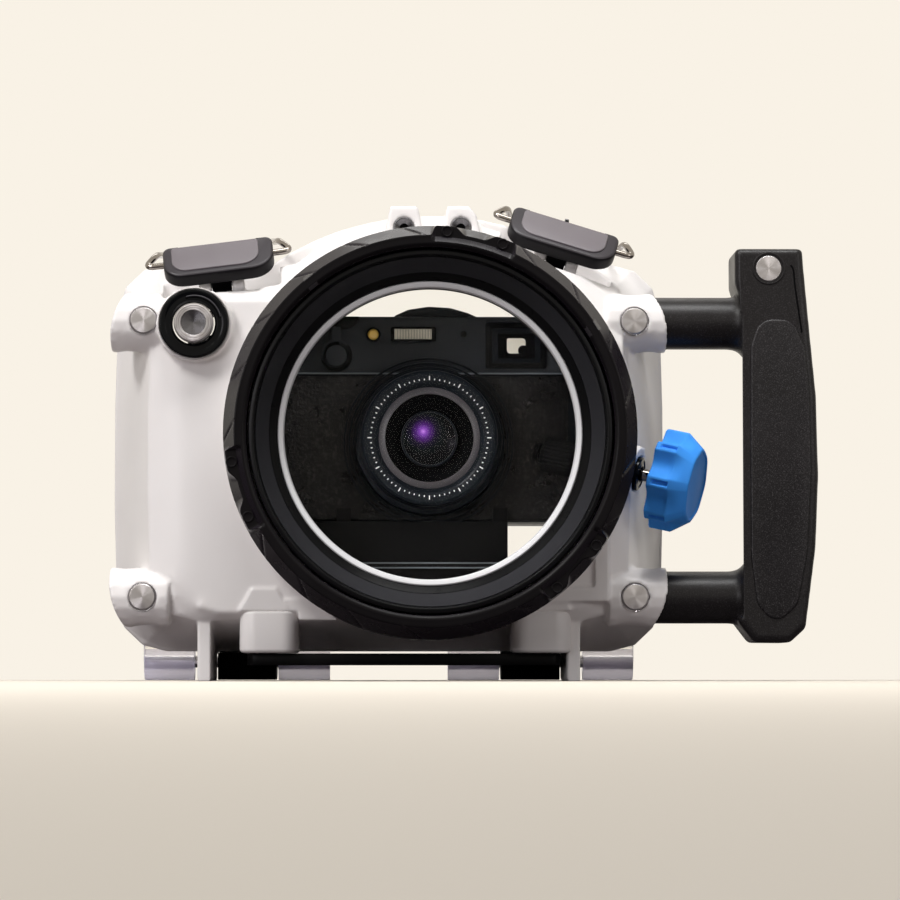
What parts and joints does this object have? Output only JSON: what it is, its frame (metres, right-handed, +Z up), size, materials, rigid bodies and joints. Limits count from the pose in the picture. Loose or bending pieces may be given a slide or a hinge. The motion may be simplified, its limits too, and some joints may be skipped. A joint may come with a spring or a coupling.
{
  "type": "underwater camera housing",
  "caption": "Rigid underwater housing for a compact camera: moulded shell with flat port and lock ring, over-centre top latches, clear hinged rear door, side knob and side handle.",
  "frame": {"origin": "On the surface the housing stands on, midway between its left flange and the grip's far side, and midway between the lock ring's front and the rear dial's back.", "axes": "+X from the housing to the handle, seen from the front; +Y from the port back to the rear door; +Z up."},
  "size_m": [0.231, 0.1044, 0.1546],
  "materials": {
    "white_shell": "moulded, satin",
    "steel": "stainless, lightly brushed",
    "black_nylon": "fine-grained moulding",
    "black_rubber": "matt",
    "black_plastic": "moulded, satin",
    "clear_glass": "polished",
    "gold_rim": "bright turned ring",
    "seal_rubber": "greased",
    "pale_seal": "silicone",
    "blue_plastic": "moulded",
    "clear_plastic": "clear polycarbonate",
    "camera_plastic": "painted",
    "camera_silver": "satin silver"
  },
  "bodies": {
    "housing": {"housing_shell": "white_shell", "shell_foot_left": "white_shell", "shell_foot_right": "white_shell", "corner_pin_upper_left": "steel", "corner_pin_lower_left": "steel", "corner_pin_upper_right": "steel", "corner_pin_lower_right": "steel", "lug_insert_left": "steel", "lug_insert_right": "steel", "handle_tube_upper": "black_nylon", "handle_tube_lower": "black_nylon", "handle_grip": "black_nylon", "handle_panel": "black_rubber", "handle_pin": "steel", "base_plate": "black_nylon", "base_screw_left": "steel", "base_screw_right": "steel", "shutter_collar": "black_plastic", "shutter_spring": "steel", "knob_gland": "black_plastic", "latch_pin_left": "steel", "latch_pin_right": "steel", "door_seal": "pale_seal", "hinge_block_left": "black_plastic", "hinge_block_right": "black_plastic", "hinge_pin_left": "steel", "hinge_pin_right": "steel", "camera_tray": "black_plastic", "tray_screw": "steel", "camera_body": "camera_plastic", "camera_cover": "black_rubber", "camera_top_plate": "camera_silver", "camera_lens": "black_plastic", "lens_front_glass": "clear_glass", "finder_window": "clear_glass", "flash_window": "clear_glass", "focus_lamp": "clear_glass"},
    "door": {"rear_door": "clear_plastic"},
    "left_lever": {"latch_lever_left": "black_plastic", "latch_clip_left": "steel"},
    "right_lever": {"latch_lever_right": "black_plastic", "latch_clip_right": "steel"},
    "left_bail": {"latch_bail_left": "steel"},
    "right_bail": {"latch_bail_right": "steel"},
    "shutter": {"shutter_button": "steel"},
    "arm": {"shutter_arm": "steel"},
    "knob": {"knob_shaft": "steel", "blue_knob": "blue_plastic", "knob_roller": "black_rubber"},
    "ring": {"lock_ring": "black_plastic"},
    "port": {"port_barrel": "black_plastic", "port_glass": "clear_glass", "port_rim": "gold_rim", "port_seal": "seal_rubber"},
    "dial": {"rear_dial": "black_plastic"},
    "button_1": {"rear_button_1": "black_plastic"},
    "button_2": {"rear_button_2": "black_plastic"},
    "button_3": {"rear_button_3": "black_plastic"},
    "button_4": {"rear_button_4": "black_plastic"},
    "button_5": {"rear_button_5": "black_plastic"}
  },
  "joints": [
    {"name": "door_hinge", "type": "hinge", "parent": "housing", "child": "door", "pos_m": [-0.02385, 0.046, 0.0064], "axis": [-1, 0, 0], "range_deg": [0, 88]},
    {"name": "left_latch", "type": "hinge", "parent": "housing", "child": "left_lever", "pos_m": [-0.07865, -0.0023, 0.13], "axis": [-0.9925, 0, -0.1219], "range_deg": [0, 75]},
    {"name": "left_bail_swing", "type": "hinge", "parent": "left_lever", "child": "left_bail", "pos_m": [-0.07956, -0.0047, 0.13744], "axis": [-0.9925, 0, -0.1219], "range_deg": [-105, 0]},
    {"name": "right_latch", "type": "hinge", "parent": "housing", "child": "right_lever", "pos_m": [0.03085, -0.0023, 0.138], "axis": [-0.9563, 0, 0.2924], "range_deg": [0, 75]},
    {"name": "right_bail_swing", "type": "hinge", "parent": "right_lever", "child": "right_bail", "pos_m": [0.03304, -0.0047, 0.14517], "axis": [-0.9563, 0, 0.2924], "range_deg": [-105, 0]},
    {"name": "shutter_press", "type": "slide", "parent": "housing", "child": "shutter", "axis": [0, 1, 0], "range_m": [0, 0.002], "stiffness_N_per_m": 400, "springref_m": -0.002},
    {"name": "arm_tip", "type": "hinge", "parent": "housing", "child": "arm", "pos_m": [-0.08685, 0.0032, 0.104], "axis": [-1, 0, 0], "range_deg": [0, 11.46]},
    {"name": "knob_spin", "type": "hinge", "parent": "housing", "child": "knob", "pos_m": [0.05715, -0.0067, 0.0673], "axis": [0.9322, -0.2907, -0.2155], "continuous": true},
    {"name": "ring_turn", "type": "hinge", "parent": "housing", "child": "ring", "pos_m": [-0.01085, -0.0342, 0.0783], "axis": [0, -1, 0], "range_deg": [0, 45]},
    {"name": "port_slide", "type": "slide", "parent": "housing", "child": "port", "axis": [0, -1, 0], "range_m": [0, 0.0024]},
    {"name": "dial_spin", "type": "hinge", "parent": "door", "child": "dial", "pos_m": [-0.05385, 0.0488, 0.106], "axis": [0, -1, 0], "continuous": true},
    {"name": "button_1_press", "type": "slide", "parent": "door", "child": "button_1", "axis": [0, -1, 0], "range_m": [0, 0.0014], "stiffness_N_per_m": 300, "springref_m": -0.001},
    {"name": "button_2_press", "type": "slide", "parent": "door", "child": "button_2", "axis": [0, -1, 0], "range_m": [0, 0.0014], "stiffness_N_per_m": 300, "springref_m": -0.001},
    {"name": "button_3_press", "type": "slide", "parent": "door", "child": "button_3", "axis": [0, -1, 0], "range_m": [0, 0.0014], "stiffness_N_per_m": 300, "springref_m": -0.001},
    {"name": "button_4_press", "type": "slide", "parent": "door", "child": "button_4", "axis": [0, -1, 0], "range_m": [0, 0.0014], "stiffness_N_per_m": 300, "springref_m": -0.001},
    {"name": "button_5_press", "type": "slide", "parent": "door", "child": "button_5", "axis": [0, -1, 0], "range_m": [0, 0.0014], "stiffness_N_per_m": 300, "springref_m": -0.001}
  ],
  "couplings": [
    {"joint": "left_bail_swing", "follows": "left_latch", "ratio": -1.4},
    {"joint": "right_bail_swing", "follows": "right_latch", "ratio": -1.4},
    {"joint": "arm_tip", "follows": "shutter_press", "rad_per_m": 100},
    {"joint": "port_slide", "follows": "ring_turn", "m_per_rad": 0.00305}
  ]
}
